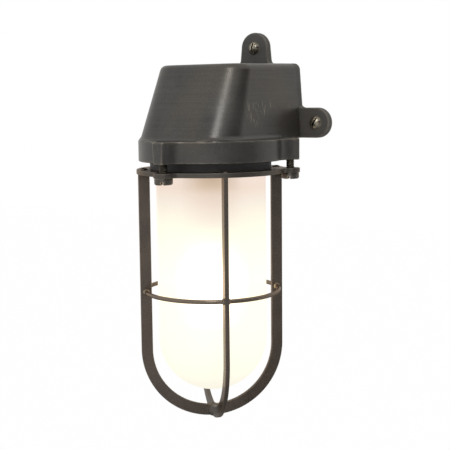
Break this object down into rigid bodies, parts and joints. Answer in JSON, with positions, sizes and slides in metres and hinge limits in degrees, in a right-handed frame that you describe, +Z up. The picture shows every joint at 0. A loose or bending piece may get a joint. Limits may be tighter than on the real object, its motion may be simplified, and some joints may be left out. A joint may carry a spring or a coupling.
{
  "type": "well glass wall light",
  "caption": "Caged well glass wall light: cast hood with fixing lugs, sealed frosted glass jar under a rim, flat-bar guard, screw-cap lampholder and lamp.",
  "frame": {"origin": "on the wall plane, midway between the two side fixing holes", "axes": "+Z up, +Y into the wall, the light hangs out in front towards -Y"},
  "size_m": [0.126, 0.1288, 0.2785],
  "materials": {
    "weathered_bronze": "dark weathered bronze, satin, edges rubbed brighter",
    "screw_bronze": "weathered bronze, slightly brassy",
    "frosted_glass": "frosted",
    "seal_rubber": "matt",
    "porcelain": "glazed white",
    "plain_brass": "plain",
    "plated_steel": "zinc plated",
    "terminal_plastic": "matt",
    "lamp_opal": "opal",
    "black_insulator": "gloss",
    "lead_brown": "matt",
    "lead_blue": "matt"
  },
  "bodies": {
    "housing": {"housing": "weathered_bronze", "cable_grommet": "seal_rubber", "terminal_block": "terminal_plastic", "block_screw": "plated_steel", "terminal_screw_live": "plain_brass", "terminal_screw_neutral": "plain_brass", "earth_screw": "plain_brass", "live_lead": "lead_brown", "neutral_lead": "lead_blue", "lamp_bridge": "plated_steel", "bridge_screw_right": "plated_steel", "bridge_screw_left": "plated_steel", "lampholder_nipple": "plain_brass", "lampholder_nut": "plated_steel", "lampholder_body": "porcelain", "lampholder_shell": "plain_brass", "lampholder_contact": "plain_brass"},
    "cage": {"glass_seal": "seal_rubber", "well_glass": "frosted_glass", "cage_flange": "weathered_bronze", "cage_hoop_over": "weathered_bronze", "cage_hoop_under": "weathered_bronze", "waist_ring": "weathered_bronze"},
    "lamp": {"lamp_glass": "lamp_opal", "lamp_cap": "plated_steel", "lamp_insulator": "black_insulator", "lamp_contact": "plain_brass"},
    "front_screw": {"cage_screw_front": "screw_bronze"},
    "right_screw": {"cage_screw_right": "screw_bronze"},
    "left_screw": {"cage_screw_left": "screw_bronze"}
  },
  "joints": [
    {"name": "cage_drop", "type": "slide", "parent": "housing", "child": "cage", "axis": [0, 0, -1], "range_m": [0, 0.115]},
    {"name": "lamp_turn", "type": "hinge", "parent": "housing", "child": "lamp", "pos_m": [0, -0.0655, -0.05], "axis": [0, 0, 1], "continuous": true},
    {"name": "front_screw_turn", "type": "hinge", "parent": "cage", "child": "front_screw", "pos_m": [0, -0.1219, -0.034], "axis": [0, 0, -1], "continuous": true},
    {"name": "right_screw_turn", "type": "hinge", "parent": "cage", "child": "right_screw", "pos_m": [0.04884, -0.0373, -0.034], "axis": [0, 0, -1], "continuous": true},
    {"name": "left_screw_turn", "type": "hinge", "parent": "cage", "child": "left_screw", "pos_m": [-0.04884, -0.0373, -0.034], "axis": [0, 0, -1], "continuous": true}
  ]
}
